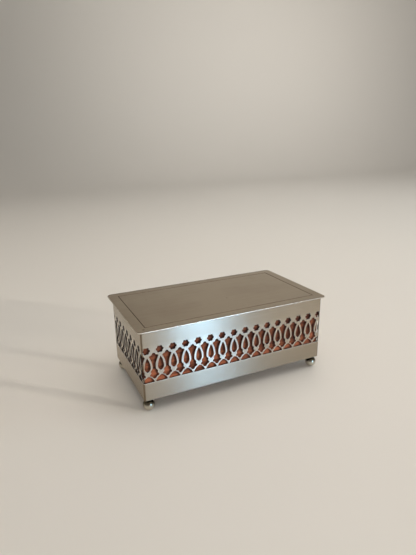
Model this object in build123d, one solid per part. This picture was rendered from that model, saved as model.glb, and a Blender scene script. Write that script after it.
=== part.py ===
from build123d import *
import math
import os

# Body: one strip of sheet makes the left side, front and right side, and a plain plate closes the back
body_length = 200.0
body_depth = 100.0
wall_height = 69.6
wall_sheet = 1.0
bend_radius = 1.6

# Pierced gallery: one motif repeated along the strip and round its bends, up to a plain post at each end
pitch = 12.82
rosette_offset = 4.53
gallery_bottom = 18.15
gallery_height = 35.35
petal_count = 6
petal_radius = 3.2
petal_half_angle = 13.0
notch_radius = 2.35
almond_half_width = 2.7
ring_width = 1.95
post_width = 1.2
bend_slices = 3

# Lid: a flat plate that stands out past the walls, furthest at the back, over the hinge
lid_sheet = 1.2
lid_overhang = 3.8
lid_back_overhang = 11.0
lid_corner_radius = 4.0
border_inset = 10.0
border_width = 0.9
border_depth = 0.3

# Base plate, let into the foot of the strip
base_sheet = 1.0
solder_gap = 0.05

# Ball feet, soldered under the base plate by their necks
foot_height = 12.7
foot_radius = 5.75
foot_flat_radius = 1.5
foot_inset = 5.5
neck_radius = 2.6

# Wooden lining, its boards relieved behind the piercing so that a shadow gap shows
liner_fit = 0.3
liner_thickness = 4.0
liner_relief = 0.8
liner_floor_thickness = 4.0
relief_bottom = 14.0
relief_top = 55.5
liner_rim_gap = 0.3

# Wooden panel under the lid
lining_panel_thickness = 3.0
lining_panel_gap = 1.0

# Hinge along the back, under the lid's overhang
hinge_length = 186.0
knuckle_count = 5
knuckle_gap = 0.3
barrel_radius = 2.0
barrel_clearance = 0.3
pin_radius = 0.75
pin_clearance = 0.05
leaf_thickness = 0.8
body_leaf_height = 9.0
lid_leaf_edge_gap = 1.9
tab_lap = 1.0

# Places that the pieces share; the origin is on the table, below the middle of the lid
lid_length = body_length + 2 * lid_overhang
lid_depth = body_depth + lid_overhang + lid_back_overhang
left = -body_length / 2
right = body_length / 2
front = -lid_depth / 2 + lid_overhang
back = front + body_depth
body_middle = (front + back) / 2
wall_bottom = foot_height
wall_top = wall_bottom + wall_height
floor_bottom = wall_bottom + base_sheet
floor_top = floor_bottom + liner_floor_thickness
axis_y = back + barrel_clearance + barrel_radius
axis_z = wall_top - barrel_clearance - barrel_radius
liner_inset = wall_sheet + liner_fit
well_length = body_length - 2 * (liner_inset + liner_relief + liner_thickness)
well_depth = body_depth - 2 * (liner_inset + liner_relief + liner_thickness)

# Lengths along the strip, measured from where the front's flat stretch begins
front_flat = body_length - 2 * bend_radius
side_flat = body_depth - bend_radius - wall_sheet
bend_length = math.pi / 2 * bend_radius
strip_start = -bend_length - side_flat
strip_end = front_flat + bend_length + side_flat


def closed_face(points):
    return make_face(Polyline(*points, close=True))


def motif(half_outline):
    """A closed outline from its right half, listed from the top down as width and share of the gallery's height."""
    points = [(u, share * gallery_height) for u, share in half_outline]
    return closed_face(points + [(-u, v) for u, v in reversed(points) if u > 0])


def rosette():
    points = []
    step = 360 / petal_count
    rise = gallery_height - petal_radius
    for petal in range(petal_count):
        for turn, radius in (
            (-petal_half_angle, petal_radius),
            (petal_half_angle, petal_radius),
            (step / 2, notch_radius),
        ):
            angle = math.radians(petal * step + turn)
            points.append((radius * math.cos(angle), rise + radius * math.sin(angle)))
    return closed_face(points)


def almond():
    """Pointed at both ends, widest below its middle."""
    widest = almond_half_width
    return motif([(0, 0.69), (0.62 * widest, 0.577), (widest, 0.424), (0, 0.303)])


def arch():
    """The low hole between two ribs, under each ring."""
    half = pitch / 2
    return motif([(0.07 * half, 0.164), (0.8 * half, 0.034), (0.8 * half, 0)])


def vase():
    """The tall hole between two rings: a tip, shoulders, a waist and a lobed foot."""
    half = pitch / 2
    waist = half - almond_half_width - ring_width
    return motif(
        [
            (0.11 * half, 0.826),
            (0.2 * half, 0.772),
            (0.56 * half, 0.752),
            (half - 0.62 * almond_half_width - ring_width, 0.594),
            (waist, 0.407),
            (0.47 * half, 0.339),
            (0.345 * half, 0.274),
            (0.64 * half, 0.221),
            (0.345 * half, 0.164),
            (0.14 * half, 0.099),
        ]
    )


def gallery_holes():
    """Every hole, laid out along the strip and cut off at the plain posts, with the stretch that it reaches."""
    phase = rosette_offset - bend_radius
    first = math.floor((strip_start - phase) / pitch)
    last = math.ceil((strip_end - phase) / pitch)
    low, high = strip_start + post_width, strip_end - post_width
    pierced = Pos((low + high) / 2, 0) * Rectangle(high - low, 2 * wall_height)
    holes = []
    for column in range(first, last + 1):
        for shape, shift in ((rosette, 0), (almond, 0), (arch, 0), (vase, pitch / 2)):
            spot = phase + column * pitch + shift
            hole = (Pos(spot, gallery_bottom) * shape()) & pierced
            if hole and hole.area > 0:
                holes.append((spot - pitch / 2, spot + pitch / 2, hole))
    return holes


def holes_between(holes, start, end):
    """The holes that reach the stretch of strip from start to end, with start moved to zero."""
    return [Pos(-start, 0) * hole for low, high, hole in holes if low < end and high > start]


def flat_wall(holes, start, length, corner, along, outward):
    """One flat stretch of the strip, standing on the wall's lower edge."""
    sheet = Rectangle(length, wall_height, align=Align.MIN)
    sheet = sheet - holes_between(holes, start, start + length)
    plane = Plane(origin=corner, x_dir=along, z_dir=outward)
    return extrude(plane * sheet, -wall_sheet)


def bend(holes, start, centre_x, centre_y, first_angle):
    """One bent stretch of the strip; the holes that reach it are cut square to the bend, slice by slice."""
    with BuildPart() as turned:
        with BuildSketch(Plane.XY.offset(wall_bottom)):
            with Locations((centre_x, centre_y)):
                Circle(bend_radius)
                Circle(bend_radius - wall_sheet, mode=Mode.SUBTRACT)
            with Locations(Pos(centre_x, centre_y) * Rot(0, 0, first_angle)):
                Rectangle(2 * bend_radius, 2 * bend_radius, align=Align.MIN, mode=Mode.INTERSECT)
        extrude(amount=wall_height)
    solid = turned.part
    width = bend_length / bend_slices
    for index in range(bend_slices):
        low = start + index * width
        angle = math.radians(first_angle + 90 * (index + 0.5) / bend_slices)
        outward = (math.cos(angle), math.sin(angle), 0)
        along = (-math.sin(angle), math.cos(angle), 0)
        corner = Vector(centre_x, centre_y, wall_bottom) + Vector(*outward) * bend_radius
        plane = Plane(origin=corner, x_dir=along, z_dir=outward)
        strip = Pos(width / 2, 0) * Rectangle(1.06 * width, wall_height, align=(Align.CENTER, Align.MIN))
        for hole in holes_between(holes, low, low + width):
            piece = hole & strip
            if piece and piece.area > 0:
                cutter = plane * (Pos(-width / 2, 0) * piece)
                solid = solid - extrude(cutter, wall_sheet, both=True)
    return solid


def pierced_walls():
    holes = gallery_holes()
    inner_left, inner_right = left + bend_radius, right - bend_radius
    inner_front, strip_back = front + bend_radius, back - wall_sheet
    right_start = front_flat + bend_length
    left_corner = (left, strip_back, wall_bottom)
    front_corner = (inner_left, front, wall_bottom)
    right_corner = (right, inner_front, wall_bottom)
    left_wall = flat_wall(holes, strip_start, side_flat, left_corner, (0, -1, 0), (-1, 0, 0))
    front_wall = flat_wall(holes, 0, front_flat, front_corner, (1, 0, 0), (0, -1, 0))
    right_wall = flat_wall(holes, right_start, side_flat, right_corner, (0, 1, 0), (1, 0, 0))
    left_bend = bend(holes, -bend_length, inner_left, inner_front, 180)
    right_bend = bend(holes, front_flat, inner_right, inner_front, 270)
    return front_wall.fuse(left_bend, right_bend, left_wall, right_wall)


def back_plate():
    return block(left, right, back - wall_sheet, back, wall_bottom, wall_top)


def fitted_block(gap, low, high):
    """A block that fits inside the walls with this gap all round, its front corners cut off to clear the bends."""
    length = body_length - 2 * wall_sheet - 2 * gap
    depth = body_depth - 2 * wall_sheet - 2 * gap
    outline = Rectangle(length, depth)
    corners = outline.vertices().group_by(Axis.Y)[0]
    outline = chamfer(corners, bend_radius - wall_sheet - gap)
    return extrude(Pos(0, body_middle, low) * outline, high - low)


def block(x_low, x_high, y_low, y_high, z_low, z_high):
    size = (x_high - x_low, y_high - y_low, z_high - z_low)
    return Pos(x_low, y_low, z_low) * Box(*size, align=Align.MIN)


def base_plate():
    return fitted_block(solder_gap, wall_bottom, floor_bottom)


def ball_foot():
    """Turned in one piece: a ball, flat where it stands, and a neck."""
    centre = math.sqrt(foot_radius**2 - foot_flat_radius**2)
    neck_low = centre + math.sqrt(foot_radius**2 - neck_radius**2)
    with BuildPart() as foot:
        with BuildSketch(Plane.XZ):
            with BuildLine():
                Line((0, 0), (foot_flat_radius, 0))
                ThreePointArc((foot_flat_radius, 0), (foot_radius, centre), (neck_radius, neck_low))
                Polyline((neck_radius, neck_low), (neck_radius, foot_height), (0, foot_height), (0, 0))
            make_face()
        revolve(axis=Axis.Z)
    return foot.part


def ball_feet():
    foot = ball_foot()
    side = body_length / 2 - foot_inset
    row = body_depth / 2 - foot_inset
    spots = [(x, body_middle + y) for x in (-side, side) for y in (-row, row)]
    return Compound([Pos(x, y, 0) * foot.solid() for x, y in spots])


def liner_floor():
    return fitted_block(liner_fit, floor_bottom, floor_top)


def liner_ring():
    """All four liner walls at once: lips fit the walls above and below, and the relief lies between them."""
    rim = wall_top - liner_rim_gap
    relief_low = wall_bottom + relief_bottom
    relief_high = wall_bottom + relief_top
    ring = fitted_block(liner_fit, floor_top, rim)
    relief = block(left, right, front, back, relief_low, relief_high)
    half_length = well_length / 2
    half_depth = well_depth / 2
    core = block(
        -half_length - liner_thickness,
        half_length + liner_thickness,
        body_middle - half_depth - liner_thickness,
        body_middle + half_depth + liner_thickness,
        relief_low,
        relief_high,
    )
    well = block(
        -half_length,
        half_length,
        body_middle - half_depth,
        body_middle + half_depth,
        floor_top,
        rim,
    )
    return ring - (relief - core) - well


def liner_boards():
    """The long boards run the whole length and the end boards stand between them."""
    ring = liner_ring()
    half_length = body_length / 2
    half_well = well_depth / 2
    low, high = floor_top, wall_top
    front_zone = block(-half_length, half_length, front, body_middle - half_well, low, high)
    back_zone = block(-half_length, half_length, body_middle + half_well, back, low, high)
    left_zone = block(-half_length, 0, body_middle - half_well, body_middle + half_well, low, high)
    right_zone = block(0, half_length, body_middle - half_well, body_middle + half_well, low, high)
    return {
        "liner_front": ring & front_zone,
        "liner_back": ring & back_zone,
        "liner_left": ring & left_zone,
        "liner_right": ring & right_zone,
    }


def lid_plate():
    outline = RectangleRounded(lid_length, lid_depth, lid_corner_radius)
    plate = extrude(Pos(0, 0, wall_top) * outline, lid_sheet)
    inner_length = lid_length - 2 * border_inset
    inner_depth = lid_depth - 2 * border_inset
    line = Rectangle(inner_length, inner_depth)
    line = line - Rectangle(inner_length - 2 * border_width, inner_depth - 2 * border_width)
    groove = extrude(Pos(0, 0, wall_top + lid_sheet - border_depth) * line, lid_sheet)
    return plate - groove


def lid_lining():
    half_length = well_length / 2 - lining_panel_gap
    half_depth = well_depth / 2 - lining_panel_gap
    low = wall_top - lining_panel_thickness
    return block(
        -half_length, half_length, body_middle - half_depth, body_middle + half_depth, low, wall_top
    )


def knuckle_span(index):
    """Where one knuckle starts and ends, with half a gap left at each end."""
    step = hinge_length / knuckle_count
    start = -hinge_length / 2 + index * step
    return start + knuckle_gap / 2, start + step - knuckle_gap / 2


def barrel(index):
    low, high = knuckle_span(index)
    along = Plane(origin=(low, axis_y, axis_z), x_dir=(0, 1, 0), z_dir=(1, 0, 0))
    return extrude(along * Circle(barrel_radius), high - low)


def pin_hole():
    along = Plane(origin=(-hinge_length, axis_y, axis_z), x_dir=(0, 1, 0), z_dir=(1, 0, 0))
    return extrude(along * Circle(pin_radius + pin_clearance), 2 * hinge_length)


def hinge_body_leaf():
    """Soldered to the outside of the back wall; its tabs rise to the knuckles at both ends and between."""
    half = hinge_length / 2
    leaf_top = axis_z - barrel_radius - barrel_clearance
    leaf = block(-half, half, back, back + leaf_thickness, leaf_top - body_leaf_height, leaf_top)
    for index in range(0, knuckle_count, 2):
        low, high = knuckle_span(index)
        leaf = leaf + block(low, high, back, back + leaf_thickness, leaf_top - tab_lap, axis_z)
        leaf = leaf + barrel(index)
    return leaf - pin_hole()


def hinge_lid_leaf():
    """Soldered under the lid's overhang."""
    half = hinge_length / 2
    leaf_edge = axis_y + barrel_radius + barrel_clearance
    leaf_back = lid_depth / 2 - lid_leaf_edge_gap
    leaf = block(-half, half, leaf_edge, leaf_back, wall_top - leaf_thickness, wall_top)
    for index in range(1, knuckle_count, 2):
        low, high = knuckle_span(index)
        leaf = leaf + block(low, high, axis_y, leaf_edge + tab_lap, wall_top - leaf_thickness, wall_top)
        leaf = leaf + barrel(index)
    return leaf - pin_hole()


def hinge_pin():
    along = Plane(origin=(-hinge_length / 2, axis_y, axis_z), x_dir=(0, 1, 0), z_dir=(1, 0, 0))
    return extrude(along * Circle(pin_radius), hinge_length)


def main():
    os.makedirs("parts", exist_ok=True)
    pieces = {
        "pierced_walls": pierced_walls(),
        "back_plate": back_plate(),
        "base_plate": base_plate(),
        "ball_feet": ball_feet(),
        "liner_floor": liner_floor(),
        "lid_plate": lid_plate(),
        "lid_lining": lid_lining(),
        "hinge_body_leaf": hinge_body_leaf(),
        "hinge_lid_leaf": hinge_lid_leaf(),
        "hinge_pin": hinge_pin(),
    }
    pieces.update(liner_boards())
    for name, piece in pieces.items():
        export_step(piece, f"parts/{name}.step")


main()
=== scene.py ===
import math
import bmesh
import bpy
import numpy as np
from mathutils import Matrix, Quaternion, Vector
from mathutils.geometry import delaunay_2d_cdt


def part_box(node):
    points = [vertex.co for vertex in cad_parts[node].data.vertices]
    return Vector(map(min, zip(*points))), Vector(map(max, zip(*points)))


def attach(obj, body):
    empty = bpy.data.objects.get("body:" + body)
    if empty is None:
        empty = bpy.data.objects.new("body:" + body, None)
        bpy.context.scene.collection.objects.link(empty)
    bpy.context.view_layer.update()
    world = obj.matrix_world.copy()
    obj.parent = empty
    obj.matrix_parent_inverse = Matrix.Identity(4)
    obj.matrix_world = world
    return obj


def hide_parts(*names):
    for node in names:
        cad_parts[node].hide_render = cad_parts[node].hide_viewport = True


# A cigar box of pierced sheet metal over a wooden lining, with a hinged lid and ball feet.
# The pieces' sizes are in millimetres and degrees, the stage's and lamps' in metres; meshes are in metres.

mm = 0.001
joinGap = 1e-7  # points of a new mesh closer than this are one, in metres
facing = 0.9  # a face looks up or down where its normal does by at least this much

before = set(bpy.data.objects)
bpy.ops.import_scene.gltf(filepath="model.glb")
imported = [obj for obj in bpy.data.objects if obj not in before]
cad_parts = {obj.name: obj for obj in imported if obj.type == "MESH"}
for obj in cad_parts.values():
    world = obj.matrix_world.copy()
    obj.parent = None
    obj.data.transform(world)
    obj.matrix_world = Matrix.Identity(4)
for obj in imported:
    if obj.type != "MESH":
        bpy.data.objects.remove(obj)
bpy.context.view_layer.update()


def cornersOf(node):
    # The low and the high corner of a solid's box
    low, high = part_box(node)
    return np.array(low) / mm, np.array(high) / mm


print("frame loaded:", len(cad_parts), "nodes")


# Shader helpers


class Wire:
    # A node's output that takes part in Python arithmetic: each operator adds one Math node
    def __init__(self, board, socket):
        self.board = board
        self.socket = socket

    def combine(self, operation, *values):
        return self.board.add("ShaderNodeMath", {"operation": operation}, values)

    def __add__(self, other):
        return self.combine("ADD", self, other)

    def __radd__(self, other):
        return self.combine("ADD", other, self)

    def __sub__(self, other):
        return self.combine("SUBTRACT", self, other)

    def __rsub__(self, other):
        return self.combine("SUBTRACT", other, self)

    def __mul__(self, other):
        return self.combine("MULTIPLY", self, other)

    def __rmul__(self, other):
        return self.combine("MULTIPLY", other, self)


class Board:
    # One node tree; add() is the only place where nodes are made
    def __init__(self, tree):
        self.tree = tree
        tree.nodes.clear()

    def add(self, kind, settings=None, sockets=(), out=0):
        node = self.tree.nodes.new(kind)
        for key, value in (settings or {}).items():
            setattr(node, key, value)
        pairs = sockets.items() if isinstance(sockets, dict) else enumerate(sockets)
        for key, value in pairs:
            if isinstance(value, Wire):
                self.tree.links.new(value.socket, node.inputs[key])
            else:
                node.inputs[key].default_value = value
        return Wire(self, node.outputs[out]) if len(node.outputs) else node

    def vector(self, operation, *values, out=0):
        return self.add("ShaderNodeVectorMath", {"operation": operation}, values, out)

    def mask(self, value, low, high):
        # 0 below low, 1 above high, straight between
        return self.add("ShaderNodeMapRange", {"clamp": True}, (value, low, high, 0.0, 1.0))

    def mixColour(self, factor, first, second):
        # Mix node for colours: the sockets are factor 0, first 6 and second 7
        return self.add("ShaderNodeMix", {"data_type": "RGBA"}, {0: factor, 6: first, 7: second}, out=2)

    def noise(self, place, scale, detail=2.0, roughness=0.5):
        sockets = {"Vector": place, "Scale": scale, "Detail": detail, "Roughness": roughness}
        return self.add("ShaderNodeTexNoise", {"noise_dimensions": "3D"}, sockets)

    def bump(self, height, strength, distance):
        sockets = {"Strength": strength, "Distance": distance, "Height": height}
        return self.add("ShaderNodeBump", None, sockets)

    def finishSurface(self, sockets):
        shader = self.add("ShaderNodeBsdfPrincipled", None, sockets)
        self.add("ShaderNodeOutputMaterial", None, {"Surface": shader})


def newBoard(name):
    material = bpy.data.materials.new(name)
    material.use_nodes = True
    return material, Board(material.node_tree)


def objectPlace(board):
    return board.add("ShaderNodeTexCoord", out="Object")


def apart(board, place):
    # The three coordinates of a point as separate numbers
    x = board.add("ShaderNodeSeparateXYZ", None, (place,))
    node = x.socket.node
    return x, Wire(board, node.outputs[1]), Wire(board, node.outputs[2])


def together(board, x, y, z):
    return board.add("ShaderNodeCombineXYZ", None, (x, y, z))


def aboutZero(noise):
    # A noise lies about a half
    return noise - 0.5


def rampFrom(board, value, origin, first, last):
    # Millimetres past the origin: 0 up to the first, 1 from the last on
    return board.mask(value, (origin + first) * mm, (origin + last) * mm)


# Finishes

sheetFinish = {
    "streakLength": 22.0,  # streaks per metre along the brushing
    "streakWidth": 2600.0,  # and across it
    "coarser": (0.6, 0.22, 1.0),  # the coarse streaks' scale beside the fine ones'
    "fineShare": 0.35,
    "streakTint": 0.8,
    "streakRough": 0.14,
    "fineHeight": 5e-6,  # heights of the bumps are in metres
    "coarseHeight": 4e-6,
    "brushTurn": 0.25,  # the gloss is drawn out across the brushing, a quarter turn from it
    "patchScale": 16.0,  # warm patches of tarnish
    "patchRange": (0.38, 0.68),
    "patchTint": 0.55,
    "patchRough": 0.04,
    "pit": (0.2, 0.15, 0.1, 1),
    "pitScale": 900.0,
    "pitRange": (0.72, 0.8),
    "pitAmount": 0.35,
    "dentScale": 34.0,  # slow waves of a thin sheet
    "dentHeight": 0.00011,
}

wallFinish = {
    "clean": (0.47, 0.418, 0.345, 1),
    "warm": (0.4, 0.342, 0.258, 1),
    "roughness": 0.18,
    "anisotropy": 1.0,
    "zoneTint": (0.86, 0.81, 0.73, 1),
    "zone": (15.0, 57.0),  # where the piercing starts and ends above the walls' lower edge
    "zoneFade": 7.0,
    "zoneAmount": 0.22,
    "darkTint": (0.13, 0.085, 0.05, 1),
    "footAmount": 0.1,  # darker on the plain band under the piercing
    "bendAmount": 0.75,
    "bendFromSide": (0.9, 1.9),  # how far the darkening of a bend reaches in from the side
    "bendFromFront": (0.35, 1.5),  # and back from the front
    "leftShade": (0.34, 0.26, 0.15, 1),  # painted shade over the left side
    "leftShadeAmount": 0.25,
    "leftShadeBelow": 0.45,  # added towards the lower edge
    "leftShadeHeight": 50.0,
    "leftShadeDepth": (1.2, 1.6),  # it ends this far in from the left face
}

lidFinish = {
    "clean": (0.4, 0.332, 0.249, 1),
    "warm": (0.329, 0.262, 0.19, 1),
    "roughness": 0.34,
    "anisotropy": 0.0,
    "spots": [(8.0, -12.0, 1.1), (-70.0, 22.0, 0.8), (-96.0, -51.0, 1.6)],  # x, y and radius
    "spot": (0.09, 0.06, 0.04, 1),
    "spotAmount": 0.8,
    "spotCore": 0.35,  # share of a spot's radius that is dark all over
    "spotRagged": 0.9,
    "raggedScale": 1500.0,
}


def makeBrushedSheet(name, look, upright):
    # Plated sheet: fine streaks along the brushing, soft warm patches of tarnish and a few tiny pits.
    # The upright walls are brushed level all round, and the lid from side to side
    material, board = newBoard(name)
    place = objectPlace(board)
    x, y, z = apart(board, place)
    along, across = sheetFinish["streakLength"], sheetFinish["streakWidth"]
    if upright:
        streaks = together(board, (x + y) * along, z * across, 0.0)
    else:
        streaks = together(board, x * along, y * across, z)
    fine = board.noise(streaks, 1.0, detail=3.0, roughness=0.6)
    coarse = board.noise(board.vector("MULTIPLY", streaks, sheetFinish["coarser"]), 1.0)
    shade = fine * sheetFinish["fineShare"] + coarse * (1 - sheetFinish["fineShare"])
    cloud = board.noise(place, sheetFinish["patchScale"], detail=4.0, roughness=0.55)
    patches = board.mask(cloud, *sheetFinish["patchRange"])
    pits = board.mask(board.noise(place, sheetFinish["pitScale"]), *sheetFinish["pitRange"])
    warmth = patches * sheetFinish["patchTint"] + aboutZero(shade) * sheetFinish["streakTint"]
    colour = board.mixColour(warmth, look["clean"], look["warm"])
    if upright:
        colour = shadeAndToneWalls(board, colour, x, y, z)
    colour = board.mixColour(pits * sheetFinish["pitAmount"], colour, sheetFinish["pit"])
    for spot in look.get("spots", []):
        colour = addSpot(board, colour, place, spot, look)
    streakRough = aboutZero(shade) * sheetFinish["streakRough"]
    dents = board.noise(place, sheetFinish["dentScale"], detail=1.0, roughness=0.4)
    relief = fine * sheetFinish["fineHeight"] + coarse * sheetFinish["coarseHeight"]
    board.finishSurface(
        {
            "Base Color": colour,
            "Metallic": 1.0,
            "Roughness": look["roughness"] + streakRough + patches * sheetFinish["patchRough"],
            "Anisotropic": look["anisotropy"],
            "Anisotropic Rotation": sheetFinish["brushTurn"],
            "Normal": board.bump(relief + dents * sheetFinish["dentHeight"], 1.0, 1.0),
        }
    )
    return material


def shadeAndToneWalls(board, colour, x, y, z):
    # Lighter over the pierced zone, darker along the plain band under it and the two front bends, and
    # painted shade over the left side that deepens towards its foot
    look = wallFinish
    low, high = cornersOf("pierced_walls")
    first, last = look["zone"]
    above = rampFrom(board, z, low[2], first, first + look["zoneFade"])
    below = 1 - rampFrom(board, z, low[2], last - look["zoneFade"], last)
    colour = board.mixColour(above * below * look["zoneAmount"], colour, look["zoneTint"])
    colour = board.mixColour((1 - above) * look["footAmount"], colour, look["darkTint"])
    # painted shade over the left side, deeper towards its foot
    leftSide = 1 - rampFrom(board, x, low[0], *look["leftShadeDepth"])
    lower = 1 - rampFrom(board, z, low[2], 0, look["leftShadeHeight"])
    leftShading = leftSide * (lower * look["leftShadeBelow"] + look["leftShadeAmount"])
    colour = board.mixColour(leftShading, colour, look["leftShade"])
    nearest, furthest = look["bendFromSide"]
    besideX = rampFrom(board, x.combine("ABSOLUTE", x), high[0], -furthest, -nearest)
    besideY = 1 - rampFrom(board, y, low[1], *look["bendFromFront"])
    return board.mixColour(besideX * besideY * look["bendAmount"], colour, look["darkTint"])


def addSpot(board, colour, place, spot, look):
    # A dark spot with a ragged edge: the distance from its middle, shaken by a fine noise
    x, y, radius = spot
    offset = board.vector("SUBTRACT", place, (x * mm, y * mm, 0))
    flat = board.vector("MULTIPLY", offset, (1.0, 1.0, 0.0))
    shake = aboutZero(board.noise(place, look["raggedScale"], detail=1.0))
    ragged = board.vector("LENGTH", flat, out="Value") + shake * (look["spotRagged"] * radius * mm)
    inside = 1 - board.mask(ragged, look["spotCore"] * radius * mm, radius * mm)
    return board.mixColour(inside * look["spotAmount"], colour, look["spot"])


polish = {
    "cloudScale": 140.0,
    "cloudRange": (0.35, 0.75),
    "cloudTint": 0.5,
    "cloudRough": 0.08,
    "scratchScale": 900.0,
    "scratchStrength": 0.08,
    "scratchHeight": 0.00005,
    "platedSpecular": 0.5,
    "dullSpecular": 0.1,
}

polishedFinishes = {
    # the lid's edge: polished edge wear, with a painted highlight in its lighter tint
    "lidEdgeWearAndHighlight": {"tint": (0.6, 0.54, 0.46, 1), "dark": (0.46, 0.39, 0.3, 1), "roughness": 0.26},
    # the rims: polished edge wear, with a painted highlight in their light tint
    "rimWearAndHighlight": {"tint": (0.93, 0.91, 0.87, 1), "dark": (0.74, 0.69, 0.6, 1), "roughness": 0.28},
    # Painted shade: the piercing's cut faces and the base's underside are made near black
    "paintedShadeCuts": {
        "tint": (0.012, 0.009, 0.007, 1),
        "dark": (0.006, 0.005, 0.004, 1),
        "roughness": 0.85,
        "metallic": 0.0,  # not metal: near black, painted shade in the cuts and under the box
    },
    # the engraved line's dark colour, also used for painted shade along the lid's edges
    "engravedLineAndEdgeShade": {"tint": (0.13, 0.095, 0.065, 1), "dark": (0.07, 0.05, 0.032, 1), "roughness": 0.5},
    "polishedBall": {
        "tint": (0.66, 0.61, 0.52, 1),
        "dark": (0.42, 0.37, 0.28, 1),
        "roughness": 0.2,
        "shadow": (0.1, 0.08, 0.05, 1),  # painted shade towards the neck of a foot
        "shadowHeight": (5.6, 8.4),
    },
    "hingeMetal": {"tint": (0.62, 0.58, 0.5, 1), "dark": (0.4, 0.34, 0.26, 1), "roughness": 0.34},
}


def makePolished(name, look):
    # Polished plate with faint cloudiness; it may carry painted shade that grows from one height to another
    material, board = newBoard(name)
    place = objectPlace(board)
    metallic = look.get("metallic", 1.0)
    cloud = board.noise(place, polish["cloudScale"], detail=4.0, roughness=0.6)
    cloud = board.mask(cloud, *polish["cloudRange"])
    colour = board.mixColour(cloud * polish["cloudTint"], look["tint"], look["dark"])
    # painted shade, where the finish has a shadow
    if "shadow" in look:
        height = apart(board, place)[2]
        shadow = rampFrom(board, height, 0, *look["shadowHeight"])
        colour = board.mixColour(shadow, colour, look["shadow"])
    scratches = board.noise(place, polish["scratchScale"], detail=3.0, roughness=0.6)
    board.finishSurface(
        {
            "Base Color": colour,
            "Metallic": metallic,
            "Roughness": look["roughness"] + cloud * polish["cloudRough"],
            "Specular IOR Level": polish["platedSpecular"] if metallic else polish["dullSpecular"],
            "Normal": board.bump(scratches, polish["scratchStrength"], polish["scratchHeight"]),
        }
    )
    return material


woodFinish = {
    "light": (0.15, 0.05, 0.025, 1),
    "dark": (0.045, 0.0135, 0.0068, 1),
    "pore": (0.008, 0.0025, 0.0015, 1),
    "grainAlong": 20.0,  # grain lines per metre along a board
    "grainAcross": 360.0,  # and across it
    "swayScale": 0.25,  # the lines' sway is this much slower than they are
    "sway": 2.2,
    "lineRange": (0.4, 0.62),
    "poreScale": (2.5, 3.2, 3.2),
    "poreRange": (0.6, 0.7),
    "poreAmount": 0.85,
    "shadedAbove": (40.0, 58.0),  # painted shade, darker from here up
    "shadedAboveAmount": 0.45,
    "lineHeight": 0.6,
    "poreDepth": 0.8,
    "reliefStrength": 0.35,
    "reliefHeight": 0.00015,
    "roughness": 0.46,
    "lineRough": 0.22,
    "specular": 0.15,
}


def makeWood(name, alongY):
    # Reddish brown wood: wavy grain lines along the board, short dark pores, and painted shade higher up
    look = woodFinish
    material, board = newBoard(name)
    place = objectPlace(board)
    along, across = look["grainAlong"], look["grainAcross"]
    scale = (across, along, across) if alongY else (along, across, across)
    slow = tuple(look["swayScale"] * value for value in scale)
    sway = board.noise(board.vector("MULTIPLY", place, slow), 1.0) * look["sway"]
    grained = board.vector("MULTIPLY", place, scale)
    swayed = board.vector("ADD", grained, together(board, 0.0, sway, sway))
    lines = board.noise(swayed, 1.0, detail=4.0, roughness=0.6)
    pores = board.noise(board.vector("MULTIPLY", grained, look["poreScale"]), 1.0, roughness=0.4)
    pores = board.mask(pores, *look["poreRange"])
    colour = board.mixColour(board.mask(lines, *look["lineRange"]), look["light"], look["dark"])
    colour = board.mixColour(pores * look["poreAmount"], colour, look["pore"])
    height = apart(board, place)[2]
    # painted shade towards the top
    shadedAbove = rampFrom(board, height, 0, *look["shadedAbove"])
    colour = board.mixColour(shadedAbove * look["shadedAboveAmount"], colour, look["pore"])
    relief = lines * look["lineHeight"] - pores * look["poreDepth"]
    board.finishSurface(
        {
            "Base Color": colour,
            "Roughness": look["roughness"] + lines * look["lineRough"],
            "Specular IOR Level": look["specular"],
            "Normal": board.bump(relief, look["reliefStrength"], look["reliefHeight"]),
        }
    )
    return material


materials = {
    "wallSheet": makeBrushedSheet("wallSheet", wallFinish, upright=True),
    "lidSheet": makeBrushedSheet("lidSheet", lidFinish, upright=False),
    "liningWood": makeWood("liningWood", alongY=False),
    "endBoardWood": makeWood("endBoardWood", alongY=True),
}
for name, look in polishedFinishes.items():
    materials[name] = makePolished(name, look)
print("finishes made:", len(materials))


# Mesh helpers


def outlineThrough(points, steps):
    # Closed smooth line through hand-set points: on each span, the usual cubic whose tangent at a point
    # is half the step from the point before to the point after
    here = np.array(points, float)
    before, after, beyond = (np.roll(here, turn, axis=0) for turn in (1, -1, -2))
    t = (np.arange(steps) / steps)[None, :, None]
    p0, p1, p2, p3 = (part[:, None, :] for part in (before, here, after, beyond))
    line = 0.5 * (
        2 * p1 + (p2 - p0) * t + (2 * p0 - 5 * p1 + 4 * p2 - p3) * t**2 + (3 * p1 - p0 - 3 * p2 + p3) * t**3
    )
    return line.reshape(-1, 2)


def mirroredOutline(rightHalf):
    # From the top down on the right, then up on the left
    return rightHalf + [(-u, v) for u, v in reversed(rightHalf) if u > 0]


def runAround(outline):
    # The same outline, counter-clockwise: the sum of its corners' cross products is twice its area,
    # and less than nothing where it runs clockwise
    u, v = outline.T
    turned = u * np.roll(v, -1) - v * np.roll(u, -1)
    return outline if turned.sum() > 0 else outline[::-1]


def edgeNormals(outline):
    # At each point, the mean of the two edges' outward normals, lengthened a little at corners
    edge = np.roll(outline, -1, axis=0) - outline
    normal = np.stack([edge[:, 1], -edge[:, 0]], axis=1) / np.linalg.norm(edge, axis=1)[:, None]
    total = normal + np.roll(normal, 1, axis=0)
    length = np.linalg.norm(total, axis=1)[:, None]
    return total / length * np.minimum(2 / length, gallery["cornerReach"])


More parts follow.
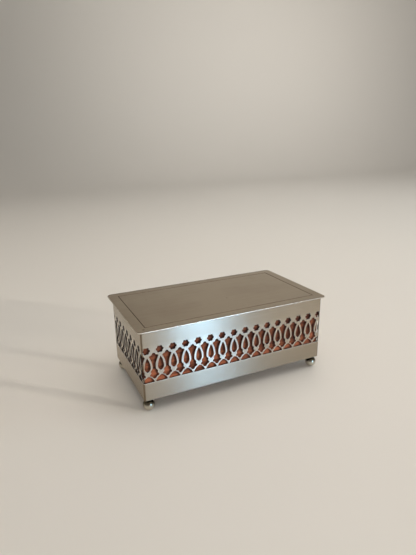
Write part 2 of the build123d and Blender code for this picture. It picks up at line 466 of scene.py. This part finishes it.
def keepBeside(outline, limit, side):
    # Cuts an outline along a vertical line: side 1 keeps what is to the right of it, side -1 to the left
    gap = side * (outline[:, 0] - limit)
    gapAhead = np.roll(gap, -1)
    crosses = gap * gapAhead < 0
    share = np.divide(gap, gap - gapAhead, out=np.zeros(len(gap)), where=crosses)
    crossing = outline + (np.roll(outline, -1, axis=0) - outline) * share[:, None]
    both = np.stack([outline, crossing], axis=1).reshape(-1, 2)
    return both[np.stack([gap >= 0, crosses], axis=1).ravel()]


def roundedLoop(halfX, halfY, radius, perCorner):
    # Rounded rectangle: four quarter arcs, each about its corner's centre
    turns = np.linspace(0, math.pi / 2, perCorner + 1)
    angles = np.concatenate([turns + quarter * math.pi / 2 for quarter in range(4)])
    signX = np.repeat([1, -1, -1, 1], perCorner + 1)
    signY = np.repeat([1, 1, -1, -1], perCorner + 1)
    x = signX * (halfX - radius) + radius * np.cos(angles)
    y = signY * (halfY - radius) + radius * np.sin(angles)
    return np.stack([x, y], axis=1)


def skinLoops(loops):
    # Quads between each loop and the next, and one flat face on the first and last loop
    count, size = loops.shape[:2]
    index = np.arange(count * size).reshape(count, size)
    ahead = np.roll(index, -1, axis=1)
    quads = np.stack([index[:-1], ahead[:-1], ahead[1:], index[1:]], axis=-1).reshape(-1, 4)
    faces = quads.tolist()
    faces.append(index[0][::-1].tolist())
    faces.append(index[-1].tolist())
    return loops.reshape(-1, 3), faces


def meshFromLoops(name, loops, kinds=None):
    # kinds: a material number for each band between two loops, then one for each end
    points, faces = skinLoops(loops)
    mesh = bpy.data.meshes.new(name)
    mesh.from_pydata((points * mm).tolist(), [], faces)
    if kinds:
        bands = np.repeat(kinds[:-2], loops.shape[1])
        mesh.polygons.foreach_set("material_index", np.concatenate([bands, kinds[-2:]]).astype(np.int32))
    closeMesh(mesh)
    return mesh


def closeMesh(mesh):
    # Merges points that meet and turns every face outwards
    work = bmesh.new()
    work.from_mesh(mesh)
    bmesh.ops.remove_doubles(work, verts=work.verts, dist=joinGap)
    bmesh.ops.recalc_face_normals(work, faces=work.faces)
    work.to_mesh(mesh)
    work.free()


def smoothShade(mesh, angle):
    mesh.shade_smooth()
    mesh.set_sharp_from_angle(angle=math.radians(angle))


def keepFlatsFlat(piece):
    modifier = piece.modifiers.new("weighted", "WEIGHTED_NORMAL")
    modifier.keep_sharp = True
    modifier.weight = 80


def addPiece(name, mesh, finishes, body, standsFor=()):
    mesh.name = name
    for finish in finishes:
        mesh.materials.append(materials[finish])
    piece = bpy.data.objects.new(name, mesh)
    bpy.context.scene.collection.objects.link(piece)
    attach(piece, body)
    if standsFor:
        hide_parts(*standsFor)
    return piece


# Pierced strip of the left, front and right walls

gallery = {
    "pitch": 12.82,
    "rosetteOffset": 4.53,  # the first rosette of the front, from the left face
    "bottom": 18.15,  # above the walls' lower edge
    "sheet": 1.0,
    "bend": 1.6,
    "bendSteps": 9,
    "post": 1.2,  # left plain at each end
    "bendMargin": 0.3,  # the right bend is a post too, but for this much at its ends
    "rim": 0.14,  # slope between a face and a cut
    "widen": 0.12,  # every opening is let out by this much
    "cornerReach": 1.3,  # and by up to this many times as much at its corners
    "leastCut": 1.3,  # what the posts leave of an opening is cut only if it is wider than this
    "leastStep": 0.1,  # of an outline; shorter ones are left out
    "fillGap": 1e-7,  # tolerance of the triangulation
    "cutGap": 1e-5,  # and of the cuts across the bends
    "smoothAngle": 32.0,
    # the rims' finish holds a painted highlight, the cuts' finish painted shade
    "finishes": ["wallSheet", "rimWearAndHighlight", "paintedShadeCuts"],
    "rosetteRise": 32.15,
    "petals": 6,
    "petalCentre": 2.35,
    "petalRadius": 1.3,
    "petalSteps": 10,
    "curveSteps": 3,
    "almondShift": 0.5,  # the openings' axes stand a little to the right of the rosette's
    "archShift": 0.8,
    "vaseShift": 0.35,
    "almond": [
        (0, 24.8), (1.0, 23.1), (1.75, 21.3), (2.2, 19.7), (2.55, 18.0), (2.8, 16.3), (2.85, 14.7),
        (2.35, 13.0), (1.25, 11.6), (0.4, 10.85),
    ],
    "arch": [
        (0, 6.25), (0.85, 5.95), (1.8, 5.35), (2.8, 4.6), (3.7, 3.7), (4.45, 2.7), (5.05, 1.75),
        (5.5, 0.9), (5.5, 0.25), (5.0, 0), (3.6, 0), (1.8, 0), (0, 0),
    ],
    "vase": [
        (0, 29.5), (1.1, 29.15), (1.7, 28.3), (1.9, 27.5), (3.0, 27.15), (4.2, 26.6), (4.2, 25.7),
        (3.7, 24.5), (3.0, 22.9), (2.4, 21.2), (1.95, 19.6), (1.62, 18.0), (1.48, 16.3), (1.45, 14.6),
        (1.6, 13.3), (2.4, 12.4), (3.2, 11.5), (3.35, 10.3), (2.95, 9.3), (3.4, 8.5), (4.3, 7.6),
        (4.15, 6.4), (2.7, 5.8), (1.85, 4.9), (1.4, 4.0), (0.6, 3.45),
    ],
}


def rosetteOutline():
    # Petals are arcs of one radius: at an angle a from a petal's axis the edge lies at
    # d cos a + sqrt(r^2 - d^2 sin^2 a), with d the petal's centre and r its radius
    distance, radius = gallery["petalCentre"], gallery["petalRadius"]
    step = math.pi / gallery["petals"]
    angle = np.linspace(0, 2 * math.pi, gallery["petalSteps"] * gallery["petals"], endpoint=False)
    away = (angle + step) % (2 * step) - step
    reach = distance * np.cos(away) + np.sqrt(radius**2 - (distance * np.sin(away)) ** 2)
    return np.stack([reach * np.cos(angle), gallery["rosetteRise"] + reach * np.sin(angle)], axis=1)


def smoothOpening(name):
    return runAround(outlineThrough(mirroredOutline(gallery[name]), gallery["curveSteps"]))


def stripOutlines(start, end, height, rightBend):
    # The strip laid flat: its own outline and then every hole, cut off where a post passes: one at each end
    # and one along the right bend
    pitch = gallery["pitch"]
    shapes = [
        (rosetteOutline(), 0),
        (smoothOpening("almond"), gallery["almondShift"]),
        (smoothOpening("arch"), gallery["archShift"]),
        (smoothOpening("vase"), pitch / 2 + gallery["vaseShift"]),
    ]
    widened = [(shape + gallery["widen"] * edgeNormals(shape), shift) for shape, shift in shapes]
    outlines = [np.array([(start, 0), (end, 0), (end, height), (start, height)], float)]
    stretches = [(start + gallery["post"], rightBend[0]), (rightBend[1], end - gallery["post"])]
    phase = gallery["rosetteOffset"] - gallery["bend"]
    first, last = math.floor((start - phase) / pitch), math.ceil((end - phase) / pitch)
    for column in range(first, last + 1):
        for shape, shift in widened:
            hole = shape + [phase + column * pitch + shift, gallery["bottom"]]
            for low, high in stretches:
                width = min(hole[:, 0].max(), high) - max(hole[:, 0].min(), low)
                if width > gallery["leastCut"]:
                    kept = keepBeside(keepBeside(hole, low, 1), high, -1)
                    step = np.linalg.norm(np.roll(kept, -1, axis=0) - kept, axis=1)
                    outlines.append(kept[step > gallery["leastStep"]])
    return outlines


def cutSheet(outlines, thickness, rim):
    # Flat sheet between counter-clockwise outlines: both faces are one triangulation, and between them
    # run a narrow slope, the cut itself and a second slope. Faces have material 0, slopes 1 and cuts 2
    normals = [edgeNormals(outline) for outline in outlines]
    normals[0] = -normals[0]
    sizes = np.array([len(outline) for outline in outlines])
    starts = np.concatenate([[0], np.cumsum(sizes)[:-1]])
    line, lean = np.concatenate(outlines), np.concatenate(normals)
    count = len(line)
    owner = np.repeat(np.arange(len(outlines)), sizes)
    here = np.arange(count)
    ahead = starts[owner] + (here - starts[owner] + 1) % sizes[owner]
    faceLine = line + rim * lean
    corners = [Vector(point) for point in faceLine.tolist()]
    edges = np.stack([here, ahead], axis=1).tolist()
    filled = delaunay_2d_cdt(corners, edges, [], 1, gallery["fillGap"])
    if len(filled[0]) != count:
        raise ValueError("two outlines of the pierced strip cross")
    a, b, c = np.array(filled[2]).T
    # A triangle inside a hole has its corners on that hole's line and in the order of the line
    alike = (owner[a] == owner[b]) & (owner[b] == owner[c]) & (owner[a] > 0)
    inOrder = ((a < b) & (b < c)) | ((b < c) & (c < a)) | ((c < a) & (a < b))
    triangles = np.stack([a, b, c], axis=1)[~(alike & inOrder)]
    levels = [(faceLine, 0.0), (line, rim), (line, thickness - rim), (faceLine, thickness)]
    points = np.concatenate([np.column_stack([spot, np.full(count, depth)]) for spot, depth in levels])
    faces = triangles.tolist() + (triangles[:, ::-1] + 3 * count).tolist()
    kinds = [0] * len(faces)
    for level, kind in enumerate((1, 2, 1)):
        low, high = level * count, (level + 1) * count
        faces += np.stack([here + low, ahead + low, ahead + high, here + high], axis=1).tolist()
        kinds += [kind] * count
    mesh = bpy.data.meshes.new("flatSheet")
    mesh.from_pydata(points.tolist(), [], faces)
    mesh.polygons.foreach_set("material_index", kinds)
    return mesh


def splitBends(mesh, bendStarts, quarter):
    # Cuts across the flat sheet where it will be bent
    work = bmesh.new()
    work.from_mesh(mesh)
    for bendStart in bendStarts:
        for step in range(gallery["bendSteps"] + 1):
            cut = (bendStart + quarter * step / gallery["bendSteps"], 0, 0)
            geometry = work.verts[:] + work.edges[:] + work.faces[:]
            bmesh.ops.bisect_plane(
                work, geom=geometry, plane_co=cut, plane_no=(1, 0, 0), dist=gallery["cutGap"]
            )
    work.to_mesh(mesh)
    work.free()


def placeOnStrip(flat, corner, frontFlat):
    # Length s, height h and depth d become a point: along a straight stretch s runs on and d goes inwards,
    # and round a bend the angle is (s - start) / radius and the distance from its centre is radius - d
    s, height, depth = flat.T
    left, front, bottom = corner
    radius = gallery["bend"]
    quarter = math.pi / 2 * radius
    turnLeft = np.clip(-s / radius, 0, math.pi / 2)
    turnRight = np.clip((s - frontFlat) / radius, 0, math.pi / 2)
    reach = radius - depth
    x = np.clip(s, 0, frontFlat) + left + radius - reach * np.sin(turnLeft) + reach * np.sin(turnRight)
    y = front + radius - reach * np.cos(turnLeft + turnRight)
    y = y + np.maximum(-s - quarter, 0) + np.maximum(s - frontFlat - quarter, 0)
    return np.stack([x, y, bottom + height], axis=1)


def buildPiercedStrip():
    low, high = cornersOf("pierced_walls")
    radius, margin = gallery["bend"], gallery["bendMargin"]
    frontFlat = high[0] - low[0] - 2 * radius
    sideFlat = high[1] - low[1] - radius
    quarter = math.pi / 2 * radius
    start, end = -quarter - sideFlat, frontFlat + quarter + sideFlat
    rightBend = (frontFlat + margin, frontFlat + quarter - margin)
    outlines = stripOutlines(start, end, high[2] - low[2], rightBend)
    mesh = cutSheet(outlines, gallery["sheet"], gallery["rim"])
    splitBends(mesh, (-quarter, frontFlat), quarter)
    flat = np.empty(len(mesh.vertices) * 3)
    mesh.vertices.foreach_get("co", flat)
    placed = placeOnStrip(flat.reshape(-1, 3), low, frontFlat)
    mesh.vertices.foreach_set("co", (placed * mm).ravel())
    closeMesh(mesh)
    smoothShade(mesh, gallery["smoothAngle"])
    piece = addPiece(
        "pierced_strip", mesh, gallery["finishes"], "body", ["pierced_walls"]
    )
    keepFlatsFlat(piece)
    print("pierced strip:", len(mesh.polygons), "faces")


buildPiercedStrip()


# Lid: a flat sheet with softened edges, one engraved line and painted shade along its front and back edges

lid = {
    "corner": 4.6,
    "cornerSteps": 6,
    "cornerShrink": 0.5,  # what a corner's radius loses for each millimetre inwards
    "leastCorner": 0.2,
    "edge": 0.5,
    "edgeSteps": 4,
    "rimInset": 3.0,
    "edgeShadeLine": 0.9,  # painted shade along the front and back edges
    "lineInset": 10.0,
    "lineWidth": 0.9,
    "lineDepth": 0.3,
    "lineFlank": 0.3,  # share of the line's width
    "lineCorner": 0.3,
    "smoothAngle": 40.0,
    "finishes": ["lidSheet", "engravedLineAndEdgeShade", "lidEdgeWearAndHighlight"],
}
plain, dark, bright = range(3)  # the lid's finishes; dark is also painted shade, bright a painted highlight


def lidProfile(top, bottom):
    # From the middle of the top outwards over the engraved line, round the edge and back underneath:
    # each is (inset from the edge, height, corner radius, finish of the band that follows)
    edge, corner = lid["edge"], lid["corner"]
    inset, width, sharp = lid["lineInset"], lid["lineWidth"], lid["lineCorner"]
    flank, foot = lid["lineFlank"] * width, top - lid["lineDepth"]
    turns = np.linspace(0, math.pi / 2, lid["edgeSteps"] + 1)
    profile = [
        (inset + width, top, sharp, dark),
        (inset + width - flank, foot, sharp, dark),
        (inset + flank, foot, sharp, dark),
        (inset, top, sharp, plain),
        (lid["rimInset"], top, corner, plain),
        # painted shade along the edge, in the engraved line's finish
        (edge + lid["edgeShadeLine"], top, corner, dark),
    ]
    for a in turns:
        profile.append((edge * (1 - math.sin(a)), top - edge * (1 - math.cos(a)), corner, bright))
    for a in turns:
        profile.append((edge * (1 - math.cos(a)), bottom + edge * (1 - math.sin(a)), corner, bright))
    return profile


def clearEnds(mesh, halfX, halfY):
    # Only the front and back edges keep the painted shade line beside them
    centres, normals = np.empty((2, len(mesh.polygons) * 3))
    kinds = np.empty(len(mesh.polygons), np.int32)
    mesh.polygons.foreach_get("center", centres)
    mesh.polygons.foreach_get("normal", normals)
    mesh.polygons.foreach_get("material_index", kinds)
    away = np.abs(centres.reshape(-1, 3)) / mm
    atEnd = (away[:, 0] > halfX - lid["rimInset"]) & (away[:, 1] < halfY - lid["rimInset"])
    upwards = normals.reshape(-1, 3)[:, 2] > facing
    kinds[atEnd & upwards & (kinds == dark)] = plain
    mesh.polygons.foreach_set("material_index", kinds)


def buildLid():
    low, high = cornersOf("lid_plate")
    halfX, halfY = (high[0] - low[0]) / 2, (high[1] - low[1]) / 2
    profile = lidProfile(high[2], low[2])
    loops = []
    for gap, height, corner, kind in profile:
        radius = max(corner - lid["cornerShrink"] * gap, lid["leastCorner"])
        loop = roundedLoop(halfX - gap, halfY - gap, radius, lid["cornerSteps"])
        loops.append(np.column_stack([loop, np.full(len(loop), height)]))
    kinds = [kind for gap, height, corner, kind in profile[:-1]] + [plain, plain]
    mesh = meshFromLoops("lid_sheet", np.array(loops), kinds)
    clearEnds(mesh, halfX, halfY)
    smoothShade(mesh, lid["smoothAngle"])
    piece = addPiece("lid_sheet", mesh, lid["finishes"], "lid", ["lid_plate"])
    keepFlatsFlat(piece)
    print("lid:", len(mesh.polygons), "faces")


buildLid()


# Ball feet, each turned in one piece

ballFoot = {
    "radius": 5.75,
    "flat": 1.5,
    "neck": 2.6,
    "fillet": [(0.0, 0.25), (0.175, 0.05)],  # out from the neck and down from the collar
    "collar": 3.5,
    "collarHeight": 0.7,
    "collarEdge": 0.12,
    "around": 72,
    "steps": 28,
    "smoothAngle": 40.0,
}


def footProfile(top):
    # A flat, an arc of the ball up to the neck, the neck and a thin collar
    radius, neck = ballFoot["radius"], ballFoot["neck"]
    collar, edge = ballFoot["collar"], ballFoot["collarEdge"]
    centre = math.sqrt(radius**2 - ballFoot["flat"] ** 2)
    first = -math.acos(ballFoot["flat"] / radius)
    last = math.acos(neck / radius)
    angle = np.linspace(first, last, ballFoot["steps"])
    ball = np.stack([radius * np.cos(angle), centre + radius * np.sin(angle)], axis=1)
    collarLow = top - ballFoot["collarHeight"]
    upper = [(neck + out, collarLow - down) for out, down in ballFoot["fillet"]]
    upper += [(collar - edge, collarLow), (collar, collarLow + edge), (collar, top)]
    return np.concatenate([ball, upper])


def buildBallFoot(name, x, y, top):
    # The profile (r, z) turned round the foot's axis: (x + r cos t, y + r sin t, z)
    profile = footProfile(top)
    turn = np.linspace(0, 2 * math.pi, ballFoot["around"], endpoint=False)
    reach, height = profile[:, :1], profile[:, 1:]
    across, back = x + reach * np.cos(turn), y + reach * np.sin(turn)
    loops = np.stack([across, back, np.repeat(height, len(turn), axis=1)], axis=-1)
    mesh = meshFromLoops(name, loops)
    smoothShade(mesh, ballFoot["smoothAngle"])
    return addPiece(name, mesh, ["polishedBall"], "body")


def buildFeet():
    low, high = cornersOf("ball_feet")
    radius = ballFoot["radius"]
    for sideName, x in (("left", low[0] + radius), ("right", high[0] - radius)):
        for rowName, y in (("front", low[1] + radius), ("back", high[1] - radius)):
            buildBallFoot(f"ball_foot_{rowName}_{sideName}", x, y, high[2])
    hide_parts("ball_feet")


buildFeet()


# Plates, boards and hinge: copies of the frame's solids with softened edges

softening = {
    "joinGap": 2e-6,  # in metres
    "flatAngle": 1.0,  # faces that meet at less than this are one
    "smoothAngle": 30.0,
    "bevelAngle": 35.0,
    "segments": 2,
}

softened = [
    # the piece, its node, its finishes, body and slot, and the width of its softened edges
    ("back_sheet", "back_plate", ["wallSheet"], "body", "plated_sheet", 0.2),
    ("base_sheet", "base_plate", ["wallSheet", "paintedShadeCuts"], "body", "plated_sheet", 0.2),
    ("board_front", "liner_front", ["liningWood"], "body", "lining_wood", 0.25),
    ("board_back", "liner_back", ["liningWood"], "body", "lining_wood", 0.25),
    ("board_left", "liner_left", ["endBoardWood"], "body", "lining_wood", 0.25),
    ("board_right", "liner_right", ["endBoardWood"], "body", "lining_wood", 0.25),
    ("board_floor", "liner_floor", ["liningWood"], "body", "lining_wood", 0.25),
    ("lid_panel", "lid_lining", ["liningWood"], "lid", "lining_wood", 0.5),
    ("hinge_leaf_body", "hinge_body_leaf", ["hingeMetal"], "body", "hinge_metal", 0.12),
    ("hinge_leaf_lid", "hinge_lid_leaf", ["hingeMetal"], "lid", "hinge_metal", 0.12),
    ("hinge_rod", "hinge_pin", ["hingeMetal"], "body", "hinge_metal", 0.12),
]


def buildSoftened(name, node, finishes, body, slotName, edge):
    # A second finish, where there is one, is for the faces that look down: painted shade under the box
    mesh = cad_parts[node].data.copy()
    mesh.materials.clear()
    work = bmesh.new()
    work.from_mesh(mesh)
    bmesh.ops.remove_doubles(work, verts=work.verts, dist=softening["joinGap"])
    flat = math.radians(softening["flatAngle"])
    bmesh.ops.dissolve_limit(work, angle_limit=flat, verts=work.verts, edges=work.edges)
    for face in work.faces:
        face.material_index = 1 if len(finishes) > 1 and face.normal.z < -facing else 0
    work.to_mesh(mesh)
    work.free()
    smoothShade(mesh, softening["smoothAngle"])
    piece = addPiece(name, mesh, finishes, body, [node])
    bevel = piece.modifiers.new("edges", "BEVEL")
    bevel.width = edge * mm
    bevel.segments = softening["segments"]
    bevel.limit_method = "ANGLE"
    bevel.angle_limit = math.radians(softening["bevelAngle"])
    keepFlatsFlat(piece)


for entry in softened:
    buildSoftened(*entry)
print("softened copies:", len(softened))


# Stage, lights and camera

stage = {
    "near": -3.0,
    "bendStart": 1.9,
    "bendRadius": 1.3,
    "bendSteps": 24,
    "height": 3.2,
    "halfWidth": 4.5,
    "colour": (0.745, 0.705, 0.65, 1),
    "roughness": 0.42,
    "specular": 0.35,
}


def buildStage():
    # Floor that turns up into a backdrop: a straight run, a quarter arc and a straight rise,
    # carried sideways
    turn = np.linspace(0, math.pi / 2, stage["bendSteps"])
    start, radius = stage["bendStart"], stage["bendRadius"]
    arcY = start + radius * np.sin(turn)
    arcZ = radius * (1 - np.cos(turn))
    y = np.concatenate([[stage["near"]], arcY, [start + radius]])
    z = np.concatenate([[0], arcZ, [stage["height"]]])
    sides = (-stage["halfWidth"], stage["halfWidth"])
    points = np.concatenate([np.stack([np.full(len(y), side), y, z], axis=1) for side in sides])
    count = len(y)
    index = np.arange(count - 1)
    faces = np.stack([index, index + count, index + count + 1, index + 1], axis=1)
    mesh = bpy.data.meshes.new("sweep")
    mesh.from_pydata(points.tolist(), [], faces.tolist())
    mesh.shade_smooth()
    material, board = newBoard("paleSweep")
    board.finishSurface(
        {
            "Base Color": stage["colour"],
            "Roughness": stage["roughness"],
            "Specular IOR Level": stage["specular"],
        }
    )
    mesh.materials.append(material)
    sweep = bpy.data.objects.new("sweep", mesh)
    bpy.context.scene.collection.objects.link(sweep)


boxCentre = (0, 0, 0.045)

lights = {
    # The bearing is turned to the right of the box's front and the rise is above the table, both from the
    # box's centre. A lamp that isn't mirrored lights surfaces without showing in their gloss, and one that
    # isn't scattered shows there alone
    "window": {
        "bearing": 20.4, "rise": 11, "away": 1.35, "size": (0.187, 0.5), "power": 9.4, "lean": 14,
        "colour": (0.34, 0.64, 1.0), "scattered": False,
    },
    "curtain": {
        "bearing": 13.0, "rise": 20, "away": 1.4, "size": (0.5, 1.0), "power": 0.95,
        "colour": (1.0, 0.97, 0.92),
    },
    "sun": {
        "bearing": 46.0, "rise": 1.4, "away": 5.2, "size": (0.3, 0.3), "power": 12.5, "spread": 24,
        "colour": (1.0, 0.92, 0.82), "mirrored": False,
    },
    "daylight": {
        "bearing": 75.0, "rise": 18, "away": 2.4, "size": (0.8, 0.5), "power": 12.0,
        "colour": (0.8, 0.93, 1.0), "mirrored": False,
    },
    "ceiling": {
        "bearing": 90, "rise": 81, "away": 1.9, "size": (2.2, 2.2), "power": 26.0,
        "colour": (1.0, 0.96, 0.9),
    },
    "wash": {
        "bearing": -17.7, "rise": 29, "away": 3.0, "size": (1.2, 1.2), "power": 19.0, "spread": 48,
        "colour": (1.0, 0.98, 0.94), "mirrored": False, "aim": (2.6, 3.2, 0.95),
    },
}


def direction(bearing, rise):
    bearing, rise = math.radians(bearing), math.radians(rise)
    return Vector(
        (math.sin(bearing) * math.cos(rise), -math.cos(bearing) * math.cos(rise), math.sin(rise))
    )


def buildLights():
    for name, light in lights.items():
        lamp = bpy.data.lights.new(name, "AREA")
        lamp.shape = "RECTANGLE"
        lamp.size, lamp.size_y = light["size"]
        lamp.energy = light["power"]
        lamp.spread = math.radians(light.get("spread", 180))
        lamp.color = light["colour"]
        holder = bpy.data.objects.new(name, lamp)
        holder.location = Vector(boxCentre) + direction(light["bearing"], light["rise"]) * light["away"]
        aim = Vector(light.get("aim", boxCentre))
        lean = Quaternion((0, 0, 1), -math.radians(light.get("lean", 0)))
        holder.rotation_mode = "QUATERNION"
        holder.rotation_quaternion = (holder.location - aim).to_track_quat("Z", "Y") @ lean
        holder.visible_glossy = light.get("mirrored", True)
        holder.visible_diffuse = light.get("scattered", True)
        bpy.context.scene.collection.objects.link(holder)


room = {
    "colour": (0.86, 0.84, 0.8, 1),
    "light": 0.185,  # how strongly it lights the object
    "seen": 0.5,  # how bright it looks behind the floor, and in metal
}


def buildWorld():
    world = bpy.data.worlds.new("room")
    world.use_nodes = True
    board = Board(world.node_tree)
    path = board.add("ShaderNodeLightPath").socket.node
    seen = Wire(board, path.outputs["Is Camera Ray"])
    for name in ("Is Glossy Ray", "Is Transmission Ray"):
        seen = seen.combine("MAXIMUM", seen, Wire(board, path.outputs[name]))
    strength = room["light"] + seen * (room["seen"] - room["light"])
    glow = board.add("ShaderNodeBackground", None, {"Color": room["colour"], "Strength": strength})
    board.add("ShaderNodeOutputWorld", None, {"Surface": glow})
    bpy.context.scene.world = world


view = {
    "place": (-196.8, -403.0, 244.1),
    "turn": 25.13,  # to the right of straight back
    "tilt": 17.33,  # downwards
    "roll": -0.97,
    "lens": 28.68,
    "nearest": 0.01,  # clipping, in metres
    "furthest": 50,
}


def buildCamera():
    turn, tilt, roll = (math.radians(view[key]) for key in ("turn", "tilt", "roll"))
    forward = Vector((math.sin(turn) * math.cos(tilt), math.cos(turn) * math.cos(tilt), -math.sin(tilt)))
    level = Vector((math.cos(turn), -math.sin(turn), 0))
    upright = level.cross(forward)
    right = level * math.cos(roll) + upright * math.sin(roll)
    up = upright * math.cos(roll) - level * math.sin(roll)
    camera = bpy.data.cameras.new("camera")
    camera.lens = view["lens"]
    camera.clip_start = view["nearest"]
    camera.clip_end = view["furthest"]
    holder = bpy.data.objects.new("camera", camera)
    turned = Matrix((right, up, -forward)).transposed().to_4x4()
    holder.matrix_world = Matrix.Translation(Vector(view["place"]) * mm) @ turned
    bpy.context.scene.collection.objects.link(holder)
    bpy.context.scene.camera = holder


buildStage()
buildLights()
buildWorld()
buildCamera()
bpy.context.scene.view_settings.view_transform = "Standard"
print("stage, lights and camera ready")
